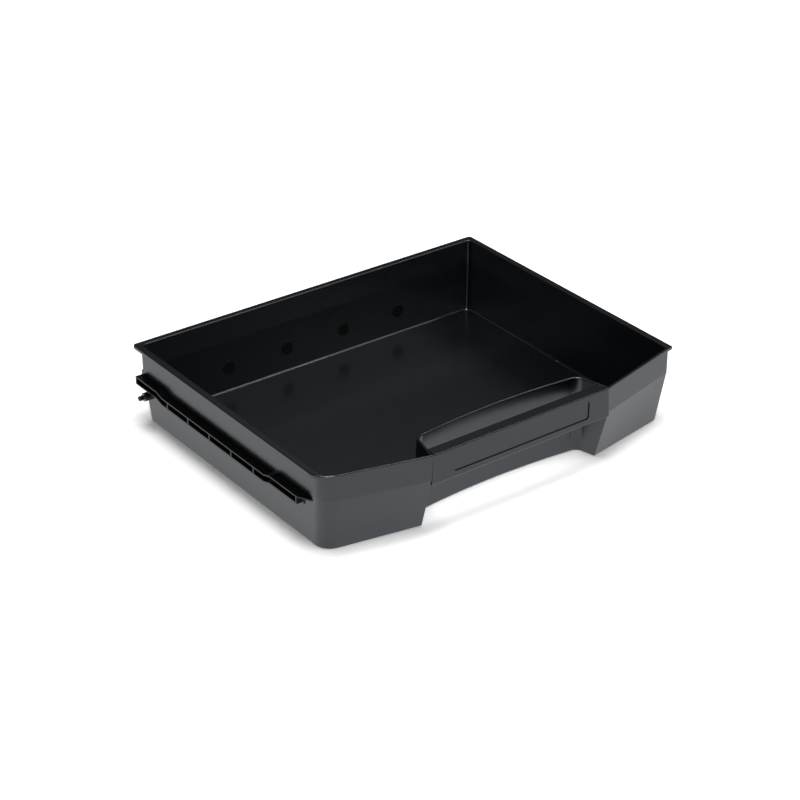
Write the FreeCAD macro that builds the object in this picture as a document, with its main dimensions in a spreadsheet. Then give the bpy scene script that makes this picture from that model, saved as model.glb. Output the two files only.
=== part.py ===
import FreeCAD, Part
import math
import os
import re

import Sketcher

Vector = FreeCAD.Vector

# Driving sizes in millimetres. X runs across the front, +Y to the back, +Z up.
# Names ending in _half_width, _y or _z are distances from the middle, the origin or the floor,
# and front ones are measured forwards. Drops, gaps and reaches start at a neighbouring piece.
SIZES = {
    "tray_height": 72.0,
    "crease_drop": 23.0,
    "bar_height": 27.5,
    "wall": 2.5,
    "floor_thickness": 2.5,
    "rim_half_width": 179.0,
    "rim_back_y": 146.8,
    "corner_front_y": 128.7,
    "wing_sweep": 22.8,
    "side_taper": 3.7,
    "back_taper": 3.7,
    "corner_taper": 7.2,
    "tip_taper": 14.7,
    "rear_radius": 6.5,
    "left_front_radius": 15.0,
    "right_front_radius": 5.0,
    "floor_fillet": 2.0,
    "foot_fillet": 1.2,
    "rim_fillet": 1.0,
    "lip_overhang": 4.0,
    "lip_thickness": 3.0,
    "lip_radius": 3.5,
    # Finger recess: a splayed, arched bay that is a little wider at the base than at the rim.
    "recess_half_width": 82.5,
    "recess_flare": 4.0,
    "recess_depth": 30.8,
    "recess_lean": 1.8,
    "recess_arch_rise": 9.0,
    "recess_arch_share": 0.82,
    "recess_radius": 8.0,
    "recess_splay": 0.25,
    # Grip bar and its label field.
    "bar_depth": 11.2,
    "bar_wall": 1.8,
    "bar_fillet": 1.2,
    "bar_end_wall": 4.0,
    "bar_end_gap": 0.05,
    "bar_rib_thickness": 1.6,
    "bar_rib_count": 5,
    "bar_rib_pitch": 28.0,
    "label_length": 140.0,
    "label_height": 16.6,
    "label_recess": 1.7,
    "label_radius": 2.5,
    "label_gap": 0.3,
    "label_thickness": 0.8,
    # Slide rails below the crease.
    "rail_depth": 6.5,
    "rail_drop": 4.2,
    "rail_step": 2.5,
    "rail_height": 7.4,
    "rail_flange": 1.2,
    "rail_web": 1.6,
    "rail_rear_gap": 2.8,
    "rail_rear_pad": 34.0,
    "rail_front_pad": 38.0,
    "rail_nose_gap": 28.2,
    "rail_nose_run": 12.5,
    "rail_ramp": 8.5,
    "rail_rib_count": 5,
    "rail_rib_pitch": 32.9,
    "rail_rib_start": 51.4,
    "rail_rib_thickness": 1.5,
    "rail_screw_bite": 2.0,
    "rail_screw_radius": 1.0,
    "rail_screw_head_radius": 1.9,
    "rail_screw_head_height": 1.4,
    # Sprung stop pins below the rear ends of the rails.
    "stop_setback": 14.7,
    "stop_drop": 13.8,
    "stop_boss_radius": 3.8,
    "stop_boss_reach": 8.0,
    "stop_bore_radius": 2.9,
    "stop_travel": 4.6,
    "stop_seat_gap": 0.3,
    "stop_tip_proud": 0.4,
    "stop_bush_length": 1.8,
    "stop_stem_radius": 2.2,
    "stop_shoulder_length": 2.2,
    "stop_tip_radius": 0.9,
    "stop_pocket_radius": 1.55,
    "stop_tip_wall": 2.4,
    "stop_fit": 0.03,
    "stop_slack": 0.1,
    "spring_wire_radius": 0.2,
    "spring_coil_radius": 1.1,
    "spring_turns": 9,
    # Push-in buffers of the back wall.
    "buffer_pitch": 61.7,
    "buffer_count": 4,
    "buffer_drop": 25.3,
    "buffer_proud": 0.7,
    "buffer_radius": 5.5,
    "buffer_nose_radius": 3.6,
    "buffer_nose_round": 0.8,
    "buffer_stem_radius": 2.5,
    "buffer_head_radius": 6.0,
    "buffer_head_height": 0.6,
    "buffer_gap": 0.1,
    # Screws through the recess ends into the bar.
    "bar_screw_drop": 14.0,
    "bar_screw_inset": 5.4,
    "bar_screw_length": 7.0,
    "bar_screw_radius": 1.5,
    "bar_screw_head_radius": 2.7,
    "bar_screw_head_height": 1.9,
    "screw_gap": 0.05,
}

# Places that follow from the driving sizes.
PLACES = {
    "crease_height": "tray_height - crease_drop",
    "base_half_width": "rim_half_width - side_taper",
    "base_back_y": "rim_back_y - back_taper",
    "base_corner_y": "corner_front_y - corner_taper",
    "front_face_y": "corner_front_y + wing_sweep",
    "base_tip_y": "front_face_y - tip_taper",
    "lip_half_width": "rim_half_width + lip_overhang",
    "lip_root_half_width": "rim_half_width - 2 * left_front_radius",
    "recess_base_half_width": "recess_half_width + recess_flare",
    "recess_front_y": "front_face_y - recess_depth",
    "recess_base_front_y": "recess_front_y - recess_lean",
    "bar_bottom_z": "tray_height - bar_height",
    "label_bottom_z": "bar_bottom_z + (bar_height - label_height) / 2",
    "rail_outer_half_width": "rim_half_width + rail_depth",
    "rail_pad_top_z": "crease_height - rail_drop",
    "rail_top_z": "rail_pad_top_z - rail_step",
    "rail_bottom_z": "rail_top_z - rail_height",
    "rail_screw_z": "rail_top_z - rail_height / 2",
    "rail_rear_y": "rim_back_y - rail_rear_gap",
    "rail_rear_pad_y": "rail_rear_y - rail_rear_pad",
    "rail_nose_front_y": "corner_front_y - rail_nose_gap",
    "rail_nose_tip_y": "rail_nose_front_y + rail_nose_run",
    "rail_front_pad_y": "rail_nose_front_y - rail_front_pad",
    "rail_rib_last_y": "rail_rear_y - rail_rib_start",
    "stop_y": "rail_rear_y - stop_setback",
    "stop_z": "rail_pad_top_z - stop_drop",
    "stop_mouth_half_width": "rim_half_width + stop_boss_reach",
    "stop_tip_half_width": "stop_mouth_half_width + stop_travel + stop_tip_proud",
    "stop_shoulder_half_width": "stop_mouth_half_width - stop_bush_length - stop_shoulder_length",
    "stop_seat_half_width": "stop_shoulder_half_width - stop_travel - stop_seat_gap",
    "buffer_z": "crease_height - buffer_drop",
    "buffer_reach_y": "rim_back_y + lip_overhang + buffer_proud",
    "buffer_seat_y": "base_back_y + back_taper * buffer_z / crease_height",
}

doc = FreeCAD.newDocument("drawer_tray")
sheet = doc.addObject("Spreadsheet::Sheet", "Sizes")
for row, (alias, number) in enumerate(SIZES.items(), start=1):
    sheet.set(f"A{row}", alias)
    sheet.set(f"B{row}", str(number))
    sheet.setAlias(f"B{row}", alias)
doc.recompute()


def sheet_words(match):
    """Sheet expression for one name: a size's cell, or a place worked out from sizes."""
    name = match[0]
    if name in PLACES:
        return f"({linked(PLACES[name])})"
    return f"Sizes.{name}" if name in SIZES else name


def linked(words):
    """Expression with every name pointed at the sheet."""
    return re.sub(r"[a-z_]+", sheet_words, words)


def size(words):
    """Present value of an expression of size names."""
    return float(sheet.evalExpression(linked(words)))


def bind(obj, **properties):
    """Tie properties of an object to expressions of size names."""
    for name, words in properties.items():
        obj.setExpression(name.replace("__", "."), linked(words))


# Sketch outlines


def fix_point(sketch, geometry, position, x, y):
    """Hold a sketch point at two expressions."""
    for kind, words, axis in (("DistanceX", x, -2), ("DistanceY", y, -1)):
        number = size(words)
        if abs(number) < 1e-9:
            sketch.addConstraint(Sketcher.Constraint("PointOnObject", geometry, position, axis))
            continue
        index = sketch.addConstraint(Sketcher.Constraint(kind, -1, 1, geometry, position, number))
        sketch.setExpression(f"Constraints[{index}]", linked(words))


def corner_arc(before, corner, after, radius):
    """Tangent points, centre and turning sense of a rounded polygon corner."""
    back = (before - corner).normalize()
    ahead = (after - corner).normalize()
    half = back.getAngle(ahead) / 2
    reach = radius / math.tan(half)
    bisector = (back + ahead).normalize()
    centre = corner + bisector * (radius / math.sin(half))
    turns_left = (back * -1).cross(ahead).z > 0
    return corner + back * reach, corner + ahead * reach, centre, turns_left


def outline(sketch, corners):
    """Closed outline through corners (x, y, radius), given as expressions; radius None is sharp."""
    points = [Vector(size(x), size(y), 0) for x, y, _ in corners]
    count = len(points)
    starts, ends, arcs = [], [], []
    for i, (_, _, radius) in enumerate(corners):
        if radius is None:
            starts.append(points[i])
            ends.append(points[i])
            arcs.append(None)
            continue
        after = points[(i + 1) % count]
        first, last, centre, left = corner_arc(points[i - 1], points[i], after, size(radius))
        starts.append(first)
        ends.append(last)
        arcs.append((centre, left))
    lines = []
    for i in range(count):
        lines.append(sketch.addGeometry(Part.LineSegment(ends[i], starts[(i + 1) % count])))
    for i, (x, y, radius) in enumerate(corners):
        before, after = lines[i - 1], lines[i]
        if radius is None:
            sketch.addConstraint(Sketcher.Constraint("Coincident", before, 2, after, 1))
            fix_point(sketch, after, 1, x, y)
            continue
        centre, left = arcs[i]
        low, high = (starts[i], ends[i]) if left else (ends[i], starts[i])
        angle_low = math.atan2(low.y - centre.y, low.x - centre.x)
        angle_high = math.atan2(high.y - centre.y, high.x - centre.x)
        if angle_high < angle_low:
            angle_high += 2 * math.pi
        circle = Part.Circle(centre, Vector(0, 0, 1), size(radius))
        arc = sketch.addGeometry(Part.ArcOfCircle(circle, angle_low, angle_high))
        sketch.addConstraint(Sketcher.Constraint("Tangent", before, 2, arc, 1 if left else 2))
        sketch.addConstraint(Sketcher.Constraint("Tangent", after, 1, arc, 2 if left else 1))
        index = sketch.addConstraint(Sketcher.Constraint("Radius", arc, size(radius)))
        sketch.setExpression(f"Constraints[{index}]", linked(radius))
        corner = sketch.addGeometry(Part.Point(points[i]), True)
        fix_point(sketch, corner, 1, x, y)
        sketch.addConstraint(Sketcher.Constraint("PointOnObject", corner, 1, before))
        sketch.addConstraint(Sketcher.Constraint("PointOnObject", corner, 1, after))


def level_sketch(name, height, corners):
    """Free sketch of a horizontal section at a height."""
    sketch = doc.addObject("Sketcher::SketchObject", name)
    outline(sketch, corners)
    bind(sketch, Placement__Base__z=height)
    return sketch


def body_sketch(body, name, role, outlines, offset="0"):
    """Sketch of closed outlines on an origin plane of a body, moved along the plane's normal."""
    plane = next(item for item in body.Origin.OriginFeatures if item.Role == role)
    sketch = body.newObject("Sketcher::SketchObject", name)
    sketch.AttachmentSupport = [(plane, "")]
    sketch.MapMode = "FlatFace"
    for corners in outlines:
        outline(sketch, corners)
    bind(sketch, AttachmentOffset__Base__z=offset)
    return sketch


def new_body(label):
    """Empty body with a label."""
    body = doc.addObject("PartDesign::Body", label)
    body.Label = label
    return body


def straight_feature(body, kind, name, sketch, length, backwards=False):
    """Pad or pocket of a sketch; backwards turns its usual direction round."""
    feature = body.newObject(f"PartDesign::{kind}", name)
    feature.Profile = sketch
    feature.Reversed = backwards
    bind(feature, Length=length)
    return feature


def mirrored(right):
    """Left-hand corners, from back to front, that mirror right-hand ones."""
    return [(f"-({x})", y, radius) for x, y, radius in reversed(right)]


def rectangle(x_low, x_high, y_low, y_high, radius=None):
    """Corners of a rectangle."""
    return [
        (x_low, y_low, radius),
        (x_high, y_low, radius),
        (x_high, y_high, radius),
        (x_low, y_high, radius),
    ]


# Part objects


def box(name, x_low, x_high, y_low, y_high, z_low, z_high):
    """Block between six limits."""
    item = doc.addObject("Part::Box", name)
    bind(item, Length=f"({x_high}) - ({x_low})", Width=f"({y_high}) - ({y_low})")
    bind(item, Height=f"({z_high}) - ({z_low})")
    bind(item, Placement__Base__x=x_low, Placement__Base__y=y_low, Placement__Base__z=z_low)
    return item


def rod(name, radius, length, base, axis):
    """Cylinder from a base point along an axis."""
    item = doc.addObject("Part::Cylinder", name)
    bind(item, Radius=radius, Height=length)
    item.Placement = FreeCAD.Placement(base, FreeCAD.Rotation(Vector(0, 0, 1), axis))
    return item


def cross_rod(name, radius, x_low, x_high, y, z):
    """Cylinder along +X whose place follows the sheet."""
    item = rod(name, radius, f"({x_high}) - ({x_low})", Vector(), Vector(1, 0, 0))
    bind(item, Placement__Base__x=x_low, Placement__Base__y=y, Placement__Base__z=z)
    return item


def loft(name, sections):
    """Ruled solid through level sections."""
    item = doc.addObject("Part::Loft", name)
    item.Sections = sections
    item.Solid = True
    item.Ruled = True
    return item


def extrusion(name, sketch, direction, length):
    """Straight solid from a sketch."""
    item = doc.addObject("Part::Extrusion", name)
    item.Base = sketch
    item.DirMode = "Custom"
    item.Dir = direction
    item.Solid = True
    bind(item, LengthFwd=length)
    return item


def fuse(name, items):
    """One solid from several."""
    item = doc.addObject("Part::MultiFuse", name)
    item.Shapes = items
    item.Refine = True
    return item


def cut(name, base, tool):
    """Base with the tool taken away."""
    item = doc.addObject("Part::Cut", name)
    item.Base = base
    item.Tool = tool
    return item


def mirror(label, source):
    """Mirror image across the middle plane."""
    item = doc.addObject("Part::Mirroring", label)
    item.Source = source
    item.Normal = Vector(1, 0, 0)
    item.Label = label
    return item


def group(label, items):
    """Separate solids kept together as one node."""
    item = doc.addObject("Part::Compound", label)
    item.Links = items
    item.Label = label
    return item


def rounded(name, base, picks):
    """Base with fillets; picks holds (edge test, radius) pairs."""
    doc.recompute()
    item = doc.addObject("Part::Fillet", name)
    item.Base = base
    edges = []
    for index, edge in enumerate(base.Shape.Edges, start=1):
        for test, radius in picks:
            if test(edge):
                edges.append((index, size(radius), size(radius)))
                break
    item.Edges = edges
    return item


def level_edge(height):
    """Test for edges that lie at a height."""
    def test(edge):
        return all(abs(vertex.Z - size(height)) < 1e-4 for vertex in edge.Vertexes)
    return test


def revolved(label, profile):
    """Body turned about its own Z axis from a profile of (radius, height, rounding) corners."""
    body = new_body(label)
    sketch = body_sketch(body, f"{label}_profile", "XZ_Plane", [profile])
    turn = body.newObject("PartDesign::Revolution", f"{label}_turn")
    turn.Profile = sketch
    turn.ReferenceAxis = (sketch, ["V_Axis"])
    turn.Angle = 360
    return body


# Tub


def bay_corner(height):
    """Distances of the recess corner from the middle and forwards, at a height."""
    share = f"({height}) / tray_height"
    across = f"(recess_base_half_width + (recess_half_width - recess_base_half_width) * {share})"
    forward = f"(recess_base_front_y + (recess_front_y - recess_base_front_y) * {share})"
    return across, forward


def recess_end(height, forward):
    """Distance from the middle to the recess end wall at a height and a forward distance."""
    across, depth = bay_corner(height)
    return f"({across} + recess_splay * ({forward} - {depth}))"


def wing_slope():
    """Forward run of the straight wing for each step towards the middle."""
    return f"(wing_sweep / (rim_half_width - {recess_end('tray_height', 'front_face_y')}))"


def wing_line(half_width):
    """Forward distance of the straight wing at a distance from the middle."""
    return f"(corner_front_y + {wing_slope()} * (rim_half_width - {half_width}))"


def wing_tip(height):
    """Forward distance at which the straight wing meets the recess end at a height."""
    across, depth = bay_corner(height)
    reach = wing_line(f"({across} - recess_splay * {depth})")
    return f"({reach} / (1 + {wing_slope()} * recess_splay))"


def section_half(height, side, back, corner, tip, front_radius):
    """Right-hand corners of the tub's outside at one height, from front to back."""
    across, depth = bay_corner(height)
    return [
        (across, f"-{depth}", "recess_radius"),
        (recess_end(height, tip), f"-{tip}", None),
        (side, f"-{corner}", front_radius),
        (side, back, "rear_radius"),
    ]


def section_corners(height, *places):
    """Outer corners of the tub at one height, around the recess; the two front corners differ."""
    left = section_half(height, *places, "left_front_radius")
    right = section_half(height, *places, "right_front_radius")
    across, depth = bay_corner(height)
    arch_radius = f"recess_arch_share * {across} ^ 2 / recess_arch_rise"
    arch = ("0", f"recess_arch_rise - {depth}", arch_radius)
    return mirrored(left) + [arch] + right


def tub_sections():
    """Sketches of the tub's outside at the base, the crease and the rim."""
    rim = ("rim_half_width", "rim_back_y", "corner_front_y")
    base = ("base_half_width", "base_back_y", "base_corner_y", "base_tip_y")
    sketches = [level_sketch("section_base", "0", section_corners("0", *base))]
    for height in ("crease_height", "tray_height"):
        corners = section_corners(height, *rim, wing_tip(height))
        sketches.append(level_sketch(f"section_{height}", height, corners))
    return sketches


def inset(sketch):
    """Outline drawn in by the wall thickness."""
    item = doc.addObject("Part::Offset2D", f"{sketch.Name}_inset")
    item.Source = sketch
    item.Join = 2
    bind(item, Value="-wall")
    return item


def lip_half(front_radius):
    """Right-hand corners of the lip slab, from front to back."""
    return [
        ("lip_root_half_width", "2 * recess_arch_rise - recess_front_y", None),
        ("lip_root_half_width", f"-{wing_line('lip_root_half_width')}", None),
        ("lip_half_width", f"-{wing_line('lip_half_width')}", front_radius),
        ("lip_half_width", "rim_back_y + lip_overhang", "lip_radius"),
    ]


def tub_lip():
    """Slab whose edge is the out-turned lip of the sides and the back; the cavity takes its middle.

    The lip meets the line of the wings in a rounded end at the left and in a point at the right.
    """
    corners = mirrored(lip_half("left_front_radius + lip_overhang")) + lip_half(None)
    sketch = level_sketch("lip_outline", "tray_height - lip_thickness", corners)
    return extrusion("lip_slab", sketch, Vector(0, 0, 1), "lip_thickness")


def both_sides(item):
    """A piece and its mirror image, as one tool."""
    return fuse(f"{item.Name}_pair", [item, mirror(f"{item.Name}_mirrored", item)])


def rail_screw_places():
    """Distances along Y of the rail screws, midway between ribs."""
    first = "rail_rib_last_y - rail_rib_pitch / 2"
    return [f"{first} - {k} * rail_rib_pitch" for k in range(int(size("rail_rib_count")) - 1)]


def buffer_places():
    """Distances along X of the buffers."""
    count = int(size("buffer_count"))
    return [f"buffer_pitch * {k - (count - 1) / 2}" for k in range(count)]


def back_wall_lean():
    """Outward direction of the sloping back wall below the crease."""
    return Vector(0, size("crease_height"), -size("back_taper")).normalize()


def back_wall_point(x):
    """Point of the back wall's outside at the height of the buffers."""
    return Vector(size(x), size("buffer_seat_y"), size("buffer_z"))


def recess_end_normal():
    """Direction square to the right recess end wall, towards the inside of the tray."""
    rise = size("(recess_flare + recess_splay * recess_lean) / tray_height")
    return Vector(1, size("recess_splay"), rise).normalize()


def bar_screw_seat():
    """Point on the inside of the right recess end wall where the screw head sits."""
    forward = "(front_face_y - bar_screw_inset)"
    height = "(tray_height - bar_screw_drop)"
    face = Vector(size(recess_end(height, forward)), -size(forward), size(height))
    normal = recess_end_normal()
    return face + normal * (size("wall") * math.hypot(normal.x, normal.y))


def tub_holes():
    """Everything drilled into the tub, as a list of tools."""
    holes = []
    bore = cross_rod("stop_bore", "stop_bore_radius", "stop_seat_half_width", "stop_mouth_half_width + wall",
                     "stop_y", "stop_z")
    holes.append(both_sides(bore))
    for k, y in enumerate(rail_screw_places()):
        pilot = cross_rod(f"rail_pilot_{k}", "rail_screw_radius + screw_gap",
                          "rim_half_width - rail_screw_bite - screw_gap", "rim_half_width + wall",
                          y, "rail_screw_z")
        holes.append(both_sides(pilot))
    lean = back_wall_lean()
    for k, x in enumerate(buffer_places()):
        base = back_wall_point(x) - lean * size("3 * wall")
        holes.append(rod(f"buffer_hole_{k}", "buffer_stem_radius + buffer_gap", "5 * wall", base, lean))
    normal = recess_end_normal()
    base = bar_screw_seat() - normal * size("2 * wall")
    passage = rod("bar_screw_hole", "bar_screw_radius + screw_gap", "3 * wall", base, normal)
    holes.append(both_sides(passage))
    return holes


def make_tub():
    """Moulded tub with lip, rail lands, stop bosses and holes."""
    sections = tub_sections()
    outside = loft("tub_outside", sections)
    cavity = loft("tub_cavity", [inset(sketch) for sketch in sections])
    reach = "2 * rim_half_width"
    slab = box("floor_slab", f"-{reach}", reach, f"-{reach}", reach, "-floor_thickness", "floor_thickness")
    space = cut("tub_space", cavity, slab)
    land = box("rail_land", "rim_half_width - 2 * wall", "rim_half_width", "-rail_nose_front_y",
               "rail_rear_y", "rail_bottom_z", "crease_height")
    boss = cross_rod("stop_boss", "stop_boss_radius", "base_half_width - wall", "stop_mouth_half_width",
                     "stop_y", "stop_z")
    solid = fuse("tub_solid", [outside, tub_lip(), both_sides(land), both_sides(boss)])
    shell = cut("tub_shell", solid, space)
    soft = rounded("tub_soft", shell, [
        (level_edge("floor_thickness"), "floor_fillet"),
        (level_edge("0"), "foot_fillet"),
        (level_edge("tray_height"), "rim_fillet"),
    ])
    tub = cut("tray_tub", soft, fuse("tub_drilling", tub_holes()))
    tub.Label = "tray_tub"
    return tub


# Grip bar


def bar_plan(height):
    """Corners of the bar between the recess ends at a height."""
    front = "front_face_y"
    back = "(front_face_y - bar_depth)"
    right = [
        (f"{recess_end(height, front)} - bar_end_gap", f"-{front}", None),
        (f"{recess_end(height, back)} - bar_end_gap", f"-{back}", None),
    ]
    return mirrored(right) + right


def make_bar():
    """Grip bar: an upturned channel with cross ribs and a label field in its face."""
    body = new_body("grip_bar")
    low = body_sketch(body, "bar_low", "XY_Plane", [bar_plan("bar_bottom_z")], "bar_bottom_z")
    high = body_sketch(body, "bar_high", "XY_Plane", [bar_plan("tray_height")], "tray_height")
    block = body.newObject("PartDesign::AdditiveLoft", "bar_block")
    block.Profile = low
    block.Sections = [high]
    block.Ruled = True
    inner = f"({recess_end('tray_height', 'front_face_y - bar_depth')} - bar_end_wall)"
    front = "label_recess + bar_wall - front_face_y"
    back = "bar_depth - bar_wall - front_face_y"
    hollow_plan = body_sketch(body, "bar_hollow_plan", "XY_Plane",
                              [rectangle(f"-{inner}", inner, front, back)], "bar_bottom_z")
    straight_feature(body, "Pocket", "bar_hollow", hollow_plan, "bar_height - bar_wall", backwards=True)
    count = int(size("bar_rib_count"))
    ribs = []
    for k in range(count):
        middle = f"bar_rib_pitch * {k - (count - 1) / 2}"
        ribs.append(rectangle(f"{middle} - bar_rib_thickness / 2", f"{middle} + bar_rib_thickness / 2",
                              f"{front} - bar_wall / 2", f"{back} + bar_wall / 2"))
    ribs_plan = body_sketch(body, "bar_ribs_plan", "XY_Plane", ribs, "tray_height - bar_wall / 2")
    straight_feature(body, "Pad", "bar_ribs", ribs_plan,
                     "tray_height - label_bottom_z - bar_wall / 2", backwards=True)
    field = body_sketch(body, "label_field_outline", "XZ_Plane", [label_corners("0")], "front_face_y")
    pocket = straight_feature(body, "Pocket", "label_field", field, "label_recess")
    doc.recompute()
    edges = [f"Edge{i}" for i, edge in enumerate(pocket.Shape.Edges, start=1) if is_bar_edge(edge)]
    soft = body.newObject("PartDesign::Fillet", "bar_soft_edges")
    soft.Base = (pocket, edges)
    bind(soft, Radius="bar_fillet")
    body.Tip = soft
    normal = recess_end_normal()
    length = "bar_screw_length + screw_gap"
    hole = rod("bar_pilot", "bar_screw_radius + screw_gap", length,
               bar_screw_seat() - normal * size(length), normal)
    bar = cut("handle_bar", body, both_sides(hole))
    bar.Label = "handle_bar"
    return bar


def is_bar_edge(edge):
    """Long outer edges of the bar: front top, front bottom, back top and back bottom."""
    if edge.Length < size("label_length"):
        return False
    middle = edge.valueAt((edge.FirstParameter + edge.LastParameter) / 2)
    ends = (size("front_face_y"), size("front_face_y - bar_depth"))
    on_face = any(abs(-middle.y - y) < 1e-4 for y in ends)
    on_level = any(abs(middle.z - size(z)) < 1e-4 for z in ("bar_bottom_z", "tray_height"))
    return on_face and on_level


def label_corners(gap):
    """Rounded corners of the label field, drawn in by a gap."""
    half = f"(label_length / 2 - {gap})"
    return rectangle(f"-{half}", half, f"label_bottom_z + {gap}", f"label_bottom_z + label_height - {gap}",
                     f"label_radius - {gap}")


def make_label_plate():
    """Blank plate that lies in the label field."""
    body = new_body("label_plate")
    sketch = body_sketch(body, "label_plate_outline", "XZ_Plane", [label_corners("label_gap")],
                         "front_face_y - label_recess")
    straight_feature(body, "Pad", "label_plate_pad", sketch, "label_thickness")
    return body


# Slide rails


def rail_pad(body, name, outlines, reach):
    """Raise side-view outlines from the rail's back face to a reach."""
    sketch = body_sketch(body, f"{name}_outline", "YZ_Plane", outlines, "rim_half_width")
    straight_feature(body, "Pad", name, sketch, reach)


def rail_band(upper, lower, front):
    """Side outline between two drops below the rail's top, which steps up at both ends."""
    top = [
        ("rail_rear_y", "rail_pad_top_z"),
        ("rail_rear_pad_y", "rail_pad_top_z"),
        ("rail_rear_pad_y - rail_ramp", "rail_top_z"),
        ("rail_ramp - rail_front_pad_y", "rail_top_z"),
        ("-rail_front_pad_y", "rail_pad_top_z"),
        (f"-{front}", "rail_pad_top_z"),
    ]
    band = [(y, f"{z} - {upper}", None) for y, z in top]
    return band + [(y, f"{z} - {lower}", None) for y, z in reversed(top)]


def rail_rib(rear, top):
    """Side-view outline of a rib between the flanges, from its rear face forwards."""
    return rectangle(f"{rear} - rail_rib_thickness", rear,
                     f"{top} - rail_height + rail_flange / 2", f"{top} - rail_flange / 2")


def rail_ribs():
    """Outlines of the cross ribs in the middle and of the posts that close both ends."""
    ribs = [
        rail_rib("rail_rear_y", "rail_pad_top_z"),
        rail_rib("(rail_rib_thickness - rail_nose_front_y)", "rail_pad_top_z"),
    ]
    for k in range(int(size("rail_rib_count"))):
        rear = f"(rail_rib_last_y - {k} * rail_rib_pitch + rail_rib_thickness / 2)"
        ribs.append(rail_rib(rear, "rail_top_z"))
    return ribs


def make_rail():
    """Right-hand rail: a ribbed channel open to the side, whose upper flange ends in a bevelled nose."""
    body = new_body("rail_blank")
    depth = "rail_outer_half_width - rim_half_width"
    channel_end = "rail_nose_front_y"
    lower = rail_band("(rail_height - rail_flange)", "rail_height", channel_end)
    rail_pad(body, "rail_web_plate", [rail_band("0", "rail_height", channel_end)], "rail_web")
    rail_pad(body, "rail_upper_flange", [rail_band("0", "rail_flange", "rail_nose_tip_y")], depth)
    rail_pad(body, "rail_lower_flange", [lower], depth)
    rail_pad(body, "rail_cross_ribs", rail_ribs(), depth)
    beyond = "rail_outer_half_width + rail_web"
    bevel_end = f"rail_nose_run * rail_web / ({depth}) - rail_nose_front_y"
    wedge = body_sketch(body, "rail_nose_wedge", "XY_Plane", [[
        ("rim_half_width", "-rail_nose_tip_y", None),
        (beyond, "-rail_nose_tip_y", None),
        (beyond, bevel_end, None),
    ]], "rail_bottom_z - wall")
    body.Tip = straight_feature(body, "Pocket", "rail_nose_bevel", wedge,
                                "rail_pad_top_z - rail_bottom_z + 2 * wall", backwards=True)
    holes = []
    for k, y in enumerate(rail_screw_places()):
        holes.append(cross_rod(f"rail_hole_{k}", "rail_screw_radius + screw_gap", "rim_half_width - wall",
                               "rail_outer_half_width", y, "rail_screw_z"))
    rail = cut("rail_right", body, fuse("rail_drilling", holes))
    rail.Label = "rail_right"
    return rail


# Screws


def screw(name, radius, length, head_radius, head_height, seat, outwards):
    """Socket screw whose head sits on a seat point and looks outwards."""
    body = revolved(name, [
        ("0", f"-({length})", None),
        (f"{radius} / 2", f"-({length})", None),
        (radius, f"{radius} - ({length})", None),
        (radius, "0", None),
        (head_radius, "0", None),
        (head_radius, head_height, f"{head_height} / 3"),
        ("0", head_height, None),
    ])
    hexagon = []
    for k in range(6):
        hexagon.append((f"{head_radius} / 2 * cos({60 * k})", f"{head_radius} / 2 * sin({60 * k})", None))
    socket = body_sketch(body, f"{name}_socket", "XY_Plane", [hexagon], head_height)
    body.Tip = straight_feature(body, "Pocket", f"{name}_drive", socket, f"{head_height} / 2")
    body.Placement = FreeCAD.Placement(seat, FreeCAD.Rotation(Vector(0, 0, 1), outwards))
    return body


def make_rail_screws():
    """Right-hand rail screws, one in each bay between ribs."""
    screws = []
    for k, y in enumerate(rail_screw_places()):
        seat = Vector(size("rim_half_width + rail_web"), size(y), size("rail_screw_z"))
        screws.append(screw(f"rail_screw_{k}", "rail_screw_radius", "rail_web + rail_screw_bite",
                            "rail_screw_head_radius", "rail_screw_head_height", seat, Vector(1, 0, 0)))
    return group("rail_screws_right", screws)


def make_bar_screws():
    """One screw through each recess end into the bar."""
    right = screw("bar_screw_right", "bar_screw_radius", "bar_screw_length", "bar_screw_head_radius",
                  "bar_screw_head_height", bar_screw_seat(), recess_end_normal())
    return group("handle_screws", [right, mirror("bar_screw_left", right)])


# Sprung stops


def make_stop_pin():
    """Hollow plunger with a shoulder behind its bush and a rounded tip."""
    tip = "(stop_tip_half_width - stop_shoulder_half_width)"
    pocket = f"({tip} - stop_tip_wall)"
    shoulder = "stop_bore_radius - stop_slack"
    body = revolved("stop_pin_right", [
        ("stop_pocket_radius", "0", None),
        (shoulder, "0", None),
        (shoulder, "stop_shoulder_length", None),
        ("stop_stem_radius", "stop_shoulder_length", None),
        ("stop_stem_radius", tip, "stop_tip_radius"),
        ("0", tip, None),
        ("0", pocket, None),
        ("stop_pocket_radius", pocket, None),
    ])
    return along_x(body, "stop_shoulder_half_width")


def make_stop_bush():
    """Ring pressed into the mouth of the stop boss; the pin runs in it."""
    inner = "stop_stem_radius + stop_fit"
    outer = "stop_bore_radius - stop_fit"
    profile = rectangle(inner, outer, "0", "stop_bush_length")
    return along_x(revolved("stop_bush_right", profile), "stop_mouth_half_width - stop_bush_length")


def along_x(body, start):
    """Turn a body's own axis to +X on the stop's line, starting at a distance from the middle."""
    body.Placement = FreeCAD.Placement(Vector(), FreeCAD.Rotation(Vector(0, 0, 1), Vector(1, 0, 0)))
    bind(body, Placement__Base__x=start, Placement__Base__y="stop_y", Placement__Base__z="stop_z")
    return body


def biarc(start, start_way, end, end_way):
    """Two tangent arcs from one point and direction to another."""
    chord = end - start
    ways = start_way + end_way
    a = ways.dot(ways) - 4
    b = -2 * chord.dot(ways)
    c = chord.dot(chord)
    leg = (-b - math.sqrt(b * b - 4 * a * c)) / (2 * a)
    first = start + start_way * leg
    second = end - end_way * leg
    joint = (first + second) * 0.5
    return [tangent_arc(start, first, joint), tangent_arc(joint, second, end)]


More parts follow.
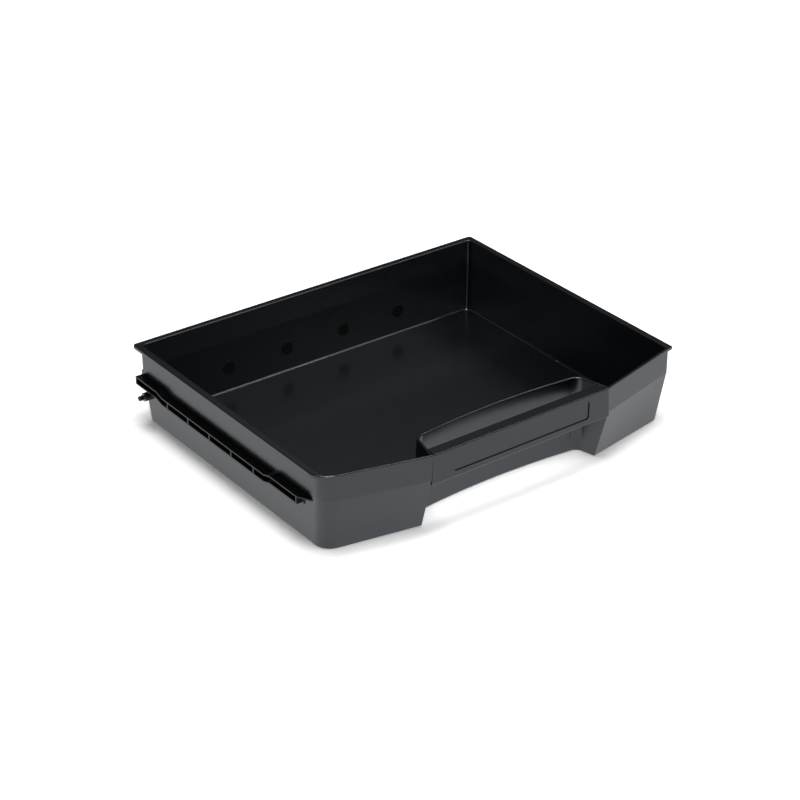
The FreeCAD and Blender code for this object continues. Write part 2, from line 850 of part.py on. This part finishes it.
def tangent_arc(start, apex, end):
    """Arc between two points that touches both lines to the apex."""
    half = (start - apex).getAngle(end - apex) / 2
    leg = start.distanceToPoint(apex)
    inward = ((start + end) * 0.5 - apex).normalize()
    middle = apex + inward * (leg / math.cos(half) - leg * math.tan(half))
    return Part.Arc(start, middle, end).toShape()


def least_gap(edges, wire, edges_per_turn):
    """Least gap between turns of a wound wire, measured on points of its middle line."""
    steps = 4
    points = []
    for edge in edges:
        span = edge.LastParameter - edge.FirstParameter
        points += [edge.valueAt(edge.FirstParameter + span * k / steps) for k in range(steps)]
    apart = edges_per_turn * steps // 2
    distances = []
    for i, point in enumerate(points):
        distances += [point.distanceToPoint(other) for other in points[i + apart:]]
    return min(distances) - 2 * wire


def make_spring():
    """Compression spring between the boss floor and the bottom of the pin's pocket."""
    wire = size("spring_wire_radius")
    coil = size("spring_coil_radius")
    quarters = 4 * int(size("spring_turns"))
    first = size("stop_seat_half_width") + wire
    last = size("stop_tip_half_width - stop_tip_wall") - wire
    climb = (last - first) / quarters
    points, ways = [], []
    for k in range(quarters + 1):
        angle = k * math.pi / 2
        points.append(Vector(first + k * climb, coil * math.cos(angle), coil * math.sin(angle)))
        way = Vector(climb / (math.pi / 2), -coil * math.sin(angle), coil * math.cos(angle))
        ways.append(way.normalize())
    edges = []
    for k in range(quarters):
        edges += biarc(points[k], ways[k], points[k + 1], ways[k + 1])
    ring = Part.Wire(Part.Circle(points[0], ways[0], wire).toShape())
    shell = Part.BRepOffsetAPI.MakePipeShell(Part.Wire(edges))
    shell.add(ring)
    shell.build()
    shell.makeSolid()
    spring = doc.addObject("Part::Feature", "stop_spring_right")
    spring.Shape = shell.shape()
    spring.Placement = FreeCAD.Placement(Vector(0, size("stop_y"), size("stop_z")), FreeCAD.Rotation())
    print(f"stop spring: least gap between turns {least_gap(edges, wire, 8):.2f} mm")
    return spring


# Buffers


def make_buffers():
    """Push-in buffers: a bumper outside, a stem through the wall and a flat head inside."""
    lean = back_wall_lean()
    slope = "sqrt(crease_height ^ 2 + back_taper ^ 2)"
    nose = (f"(buffer_reach_y - buffer_seat_y - buffer_nose_radius * back_taper / {slope})"
            f" * {slope} / crease_height")
    inside = f"-wall * crease_height / {slope}"
    buffers = []
    for k, x in enumerate(buffer_places(), start=1):
        body = revolved(f"rear_buffer_{k}", [
            ("0", f"{inside} - buffer_head_height", None),
            ("buffer_head_radius", f"{inside} - buffer_head_height", "buffer_head_height / 2"),
            ("buffer_head_radius", inside, None),
            ("buffer_stem_radius", inside, None),
            ("buffer_stem_radius", "0", None),
            ("buffer_radius", "0", None),
            ("buffer_nose_radius", nose, "buffer_nose_round"),
            ("0", nose, None),
        ])
        body.Placement = FreeCAD.Placement(back_wall_point(x), FreeCAD.Rotation(Vector(0, 0, 1), lean))
        buffers.append(body)
    return buffers


def make_parts():
    """All sub-parts, right-hand ones with their mirror images."""
    parts = [make_tub(), make_bar(), make_label_plate(), make_bar_screws()]
    parts += make_buffers()
    for right in (make_rail(), make_rail_screws(), make_stop_pin(), make_stop_bush(), make_spring()):
        parts += [right, mirror(right.Label.replace("right", "left"), right)]
    return parts


parts = make_parts()
doc.recompute()
for item in doc.Objects:
    if "Invalid" in item.State or "Error" in item.State:
        raise RuntimeError(f"{item.Label} could not be built: {item.State}")
for part in parts:
    if part.Shape.isNull() or not part.Shape.isValid():
        raise RuntimeError(f"{part.Label} has no valid shape")

os.makedirs("parts", exist_ok=True)
for part in parts:
    part.Shape.exportStep(f"parts/{part.Label}.step")
    print(f"{part.Label}: {len(part.Shape.Solids)} solids, {part.Shape.Volume:.1f} mm3")
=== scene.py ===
import bpy
from mathutils import Matrix, Vector


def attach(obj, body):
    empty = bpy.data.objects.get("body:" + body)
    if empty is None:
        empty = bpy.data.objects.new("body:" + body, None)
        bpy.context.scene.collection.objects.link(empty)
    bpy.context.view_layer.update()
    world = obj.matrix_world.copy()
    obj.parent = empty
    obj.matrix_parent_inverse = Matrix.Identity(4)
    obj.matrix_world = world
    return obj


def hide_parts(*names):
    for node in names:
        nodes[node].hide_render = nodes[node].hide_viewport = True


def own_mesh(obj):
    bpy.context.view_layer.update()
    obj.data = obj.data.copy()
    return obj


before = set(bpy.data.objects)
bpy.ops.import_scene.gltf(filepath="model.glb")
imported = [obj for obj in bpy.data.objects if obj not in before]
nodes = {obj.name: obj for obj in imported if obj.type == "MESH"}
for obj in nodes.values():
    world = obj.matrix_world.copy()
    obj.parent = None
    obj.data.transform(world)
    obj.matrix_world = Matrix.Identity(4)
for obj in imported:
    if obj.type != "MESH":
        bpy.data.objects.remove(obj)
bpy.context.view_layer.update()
scene = bpy.context.scene

# Camera fitted to the photograph: places in metres, roll in radians, lens and sensor in millimetres
CAMERA_PLACE = Vector((-0.9843, -1.3168, 0.9386))
CAMERA_TARGET = Vector((-0.01442, -0.00511, 0.03073))
CAMERA_ROLL = -0.0033
CAMERA_LENS = 98.7
CAMERA_SENSOR = 36.0

# Light: the world's grey, and the lamps' places and sizes in metres and powers in watts
WORLD_LEVEL = 0.05
LAMPS = {
    "top lamp": {"place": (-0.3, 0.05, 3.5), "width": 2.2, "height": 1.4, "power": 66.0},
    "rim lamp": {"place": (1.15, -0.2, 3.4), "width": 0.6, "height": 2.0, "power": 24.0},
    "back lamp": {"place": (1.25, 1.75, 2.0), "width": 2.0, "height": 0.9, "power": 1.5},
    "edge lamp": {"place": (0.65, -1.75, 2.2), "width": 1.3, "height": 1.3, "power": 6.0},
    "front lamp": {"place": (-1.15, -1.55, 1.1), "width": 0.7, "height": 0.7, "power": 11.0},
    "side lamp": {"place": (1.75, -1.4, 1.2), "width": 1.4, "height": 1.4, "power": 7.0},
}

# Floor: half its width in metres, its colour under the light, how much lighter the camera sees it,
# and the share that reflections see as plain white
FLOOR_HALF_WIDTH = 6.0
FLOOR_COLOUR = 0.93
FLOOR_LIFT = 1.7
FLOOR_WHITE_SHARE = 0.7

# Distances from the part, in metres, between which the camera's floor turns plain white
FAR_FLOOR_START = 0.8
FAR_FLOOR_END = 1.8

# Limits between which most values of a noise lie
NOISE_LOW = 0.3
NOISE_HIGH = 0.7

# Rays that look for sharp edges to soften
EDGE_SAMPLES = 4

# Plastic: noises of its mottling, gloss and grain, with scales per metre, and the cool tint of its sheen
MOTTLE = {"scale": 14.0, "detail": 4.0}
GLOSS = {"scale": 60.0, "detail": 5.0}
GRAIN = {"scale": 2600.0, "detail": 2.0}
SHEEN_TINT = (0.84, 0.92, 1.0)

# Steel: stretch of the coordinates per metre, noise of the lathe lines in them, and their depth in metres
LINE_STRETCH = (9000.0, 60.0, 60.0)
LINES = {"scale": 1.0, "detail": 2.0}
LINE_DEPTH = 0.00002

# Rubber: noise of its dust, depth of its pits in metres, its roughness and its low refractive index
DUST = {"scale": 900.0, "detail": 6.0}
PIT_DEPTH = 0.00003
RUBBER_ROUGH = (0.42, 0.55)
RUBBER_IOR = 1.3


def add_nodes(material):
    """Node tree of a material with its shader and the object's own coordinates."""
    material.use_nodes = True
    tree = material.node_tree
    shader = tree.nodes["Principled BSDF"]
    place = tree.nodes.new("ShaderNodeTexCoord")
    return tree, shader, place.outputs["Object"]


def stretched(tree, place, scale):
    """Coordinates stretched by a scale for each axis."""
    mapping = tree.nodes.new("ShaderNodeMapping")
    mapping.inputs["Scale"].default_value = scale
    tree.links.new(place, mapping.inputs["Vector"])
    return mapping.outputs["Vector"]


def noise(tree, place, scale, detail):
    """Noise value at a scale, with finer layers for more detail."""
    node = tree.nodes.new("ShaderNodeTexNoise")
    node.inputs["Scale"].default_value = scale
    node.inputs["Detail"].default_value = detail
    tree.links.new(place, node.inputs["Vector"])
    return node.outputs["Fac"]


def spread(tree, value, low, high):
    """Value from the middle of a noise spread between two limits."""
    node = tree.nodes.new("ShaderNodeMapRange")
    node.inputs["From Min"].default_value = NOISE_LOW
    node.inputs["From Max"].default_value = NOISE_HIGH
    node.inputs["To Min"].default_value = low
    node.inputs["To Max"].default_value = high
    tree.links.new(value, node.inputs["Value"])
    return node.outputs["Result"]


def tinted(tree, value, dark, light):
    """Colour between two tints."""
    node = tree.nodes.new("ShaderNodeMix")
    node.data_type = "RGBA"
    node.inputs["A"].default_value = (*dark, 1)
    node.inputs["B"].default_value = (*light, 1)
    tree.links.new(value, node.inputs["Factor"])
    return node.outputs["Result"]


def raised(tree, height, depth, base=None):
    """Bump of a pattern, with its depth in metres, over another normal where one is given."""
    node = tree.nodes.new("ShaderNodeBump")
    node.inputs["Strength"].default_value = 1.0
    node.inputs["Distance"].default_value = depth
    tree.links.new(height, node.inputs["Height"])
    if base is not None:
        tree.links.new(base, node.inputs["Normal"])
    return node.outputs["Normal"]


def softened(tree, radius):
    """Normal that rounds sharp edges by a radius in metres."""
    node = tree.nodes.new("ShaderNodeBevel")
    node.samples = EDGE_SAMPLES
    node.inputs["Radius"].default_value = radius
    return node.outputs["Normal"]


def moulded_plastic(name, dark, light, rough, ior, grain_depth, edge):
    """Black moulded plastic: faint mottling, uneven gloss, fine grain and softened edges."""
    material = bpy.data.materials.new(name)
    tree, shader, place = add_nodes(material)
    mottle = noise(tree, place, **MOTTLE)
    gloss = noise(tree, place, **GLOSS)
    grain = noise(tree, place, **GRAIN)
    tree.links.new(tinted(tree, mottle, dark, light), shader.inputs["Base Color"])
    tree.links.new(spread(tree, gloss, *rough), shader.inputs["Roughness"])
    tree.links.new(raised(tree, grain, grain_depth, softened(tree, edge)), shader.inputs["Normal"])
    shader.inputs["IOR"].default_value = ior
    shader.inputs["Specular Tint"].default_value = (*SHEEN_TINT, 1)
    return material


def turned_steel(name, dark, light, rough):
    """Steel with fine lathe lines round an axis along X."""
    material = bpy.data.materials.new(name)
    tree, shader, place = add_nodes(material)
    lines = noise(tree, stretched(tree, place, LINE_STRETCH), **LINES)
    tree.links.new(tinted(tree, lines, dark, light), shader.inputs["Base Color"])
    tree.links.new(spread(tree, lines, *rough), shader.inputs["Roughness"])
    tree.links.new(raised(tree, lines, LINE_DEPTH), shader.inputs["Normal"])
    shader.inputs["Metallic"].default_value = 1.0
    return material


def matt_rubber(name, dark, light):
    """Matt rubber with a dusty, pitted skin."""
    material = bpy.data.materials.new(name)
    tree, shader, place = add_nodes(material)
    dust = noise(tree, place, **DUST)
    tree.links.new(tinted(tree, dust, dark, light), shader.inputs["Base Color"])
    tree.links.new(spread(tree, dust, *RUBBER_ROUGH), shader.inputs["Roughness"])
    tree.links.new(raised(tree, dust, PIT_DEPTH), shader.inputs["Normal"])
    shader.inputs["IOR"].default_value = RUBBER_IOR
    return material


def dress(material, *names):
    """Give CAD nodes a material."""
    for name in names:
        nodes[name].data.materials.clear()
        nodes[name].data.materials.append(material)


def dress_tray():
    """Semi-gloss tub and bar, and the duller label plate."""
    black = {"dark": (0.0026, 0.003, 0.0036), "light": (0.0036, 0.0042, 0.005), "rough": (0.225, 0.25)}
    tub = moulded_plastic("tub plastic", **black, ior=1.79, grain_depth=0.000004, edge=0.0005)
    bar = moulded_plastic("bar plastic", **black, ior=1.7, grain_depth=0.000005, edge=0.0002)
    label = moulded_plastic("label plastic", dark=(0.003, 0.0034, 0.004), light=(0.004, 0.0046, 0.0054),
                            rough=(0.26, 0.3), ior=1.7, grain_depth=0.000008, edge=0.0002)
    dress(tub, "tray_tub")
    dress(bar, "handle_bar")
    dress(label, "label_plate")


def dress_rails_and_pins():
    """Deep black rails, and stop pins with a little more sheen."""
    rail = moulded_plastic("rail plastic", dark=(0.0015, 0.0016, 0.0016), light=(0.0025, 0.0027, 0.0027),
                           rough=(0.24, 0.32), ior=1.48, grain_depth=0.000005, edge=0.0002)
    pin = moulded_plastic("pin plastic", dark=(0.0025, 0.0025, 0.0028), light=(0.004, 0.004, 0.0044),
                          rough=(0.24, 0.32), ior=1.55, grain_depth=0.000005, edge=0.0002)
    dress(rail, "rail_left", "rail_right")
    dress(pin, "stop_pin_left", "stop_pin_right")


def dress_metal():
    """Bright bushes, drawn wire springs and blackened screws."""
    bush = turned_steel("bush steel", dark=(0.42, 0.42, 0.4), light=(0.62, 0.62, 0.6), rough=(0.22, 0.34))
    spring = turned_steel("spring steel", dark=(0.36, 0.36, 0.36), light=(0.52, 0.52, 0.52),
                          rough=(0.25, 0.35))
    screw = turned_steel("black screw steel", dark=(0.03, 0.03, 0.033), light=(0.06, 0.06, 0.065),
                         rough=(0.3, 0.42))
    dress(bush, "stop_bush_left", "stop_bush_right")
    dress(spring, "stop_spring_left", "stop_spring_right")
    dress(screw, "handle_screws", "rail_screws_left", "rail_screws_right")


def dress_buffers():
    """Matt black rear buffers."""
    rubber = matt_rubber("buffer rubber", dark=(0.0015, 0.0016, 0.0018), light=(0.0025, 0.0027, 0.003))
    dress(rubber, "rear_buffer_1", "rear_buffer_2", "rear_buffer_3", "rear_buffer_4")


def compress_springs():
    """Copies of the springs, carried with the tray, that stand in for the hidden originals."""
    # Each seat is the corner of the spring's box, lowest or highest, that is nearer to the middle.
    for side, seat in (("left", 1), ("right", 0)):
        node = nodes[f"stop_spring_{side}"]
        spring = bpy.data.objects.new(f"compressed_spring_{side}", node.data.copy())
        spring.matrix_world = node.matrix_world.copy()
        scene.collection.objects.link(spring)
        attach(spring, "tray")
        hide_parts(node.name)
        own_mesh(spring)


def calculated(tree, operation, first, second):
    """Result of a calculation on two values; each is an output or a number."""
    node = tree.nodes.new("ShaderNodeMath")
    node.operation = operation
    for socket, value in zip(node.inputs, (first, second)):
        if isinstance(value, float):
            socket.default_value = value
        else:
            tree.links.new(value, socket)
    return node.outputs["Value"]


def far_share(tree):
    """Share that rises from nothing near the part to one on the far floor."""
    place = tree.nodes.new("ShaderNodeTexCoord")
    distance = tree.nodes.new("ShaderNodeVectorMath")
    distance.operation = "LENGTH"
    tree.links.new(place.outputs["Object"], distance.inputs[0])
    share = tree.nodes.new("ShaderNodeMapRange")
    share.inputs["From Min"].default_value = FAR_FLOOR_START
    share.inputs["From Max"].default_value = FAR_FLOOR_END
    tree.links.new(distance.outputs["Value"], share.inputs["Value"])
    return share.outputs["Result"]


def floor_paper():
    """White paper with the part's shadow: plain white far off to the camera, and partly in reflections."""
    material = bpy.data.materials.new("floor paper")
    material.use_nodes = True
    tree = material.node_tree
    tree.nodes.remove(tree.nodes["Principled BSDF"])
    rays = tree.nodes.new("ShaderNodeLightPath")
    lift = calculated(tree, "MULTIPLY", rays.outputs["Is Camera Ray"], FLOOR_COLOUR * (FLOOR_LIFT - 1))
    paper = tree.nodes.new("ShaderNodeBsdfDiffuse")
    tree.links.new(calculated(tree, "ADD", lift, FLOOR_COLOUR), paper.inputs["Color"])
    reflected = calculated(tree, "MULTIPLY", rays.outputs["Is Glossy Ray"], FLOOR_WHITE_SHARE)
    far = calculated(tree, "MULTIPLY", rays.outputs["Is Camera Ray"], far_share(tree))
    white = tree.nodes.new("ShaderNodeEmission")
    white.inputs["Strength"].default_value = 1.0
    mix = tree.nodes.new("ShaderNodeMixShader")
    tree.links.new(calculated(tree, "ADD", reflected, far), mix.inputs["Fac"])
    tree.links.new(paper.outputs["BSDF"], mix.inputs[1])
    tree.links.new(white.outputs["Emission"], mix.inputs[2])
    tree.links.new(mix.outputs["Shader"], tree.nodes["Material Output"].inputs["Surface"])
    return material


def add_floor():
    """Pale plain floor under the tray."""
    half = FLOOR_HALF_WIDTH
    mesh = bpy.data.meshes.new("floor")
    corners = [(-half, -half, 0), (half, -half, 0), (half, half, 0), (-half, half, 0)]
    mesh.from_pydata(corners, [], [(0, 1, 2, 3)])
    mesh.materials.append(floor_paper())
    floor = bpy.data.objects.new("floor", mesh)
    scene.collection.objects.link(floor)


def add_lamp(name, place, width, height, power):
    """Soft rectangular lamp turned towards the origin, where the tray stands."""
    data = bpy.data.lights.new(name, "AREA")
    data.shape = "RECTANGLE"
    data.size = width
    data.size_y = height
    data.energy = power
    lamp = bpy.data.objects.new(name, data)
    lamp.location = place
    lamp.rotation_euler = (-Vector(place)).to_track_quat("-Z", "Y").to_euler()
    scene.collection.objects.link(lamp)


def add_light():
    """Even dim world, a wide soft lamp above, a narrow one beside it, and weaker ones before and behind."""
    world = bpy.data.worlds.new("studio")
    world.use_nodes = True
    background = world.node_tree.nodes["Background"]
    background.inputs["Color"].default_value = (1, 1, 1, 1)
    background.inputs["Strength"].default_value = WORLD_LEVEL
    scene.world = world
    for name, lamp in LAMPS.items():
        add_lamp(name, **lamp)


def add_camera():
    """Camera at the photograph's place, with its small roll."""
    data = bpy.data.cameras.new("camera")
    data.lens = CAMERA_LENS
    data.sensor_width = CAMERA_SENSOR
    camera = bpy.data.objects.new("camera", data)
    aim = (CAMERA_TARGET - CAMERA_PLACE).to_track_quat("-Z", "Y").to_matrix()
    turn = aim @ Matrix.Rotation(CAMERA_ROLL, 3, "Z")
    camera.matrix_world = Matrix.Translation(CAMERA_PLACE) @ turn.to_4x4()
    scene.collection.objects.link(camera)
    scene.camera = camera


scene.view_settings.view_transform = "Standard"
dress_tray()
dress_rails_and_pins()
dress_metal()
dress_buffers()
compress_springs()
add_floor()
add_light()
add_camera()
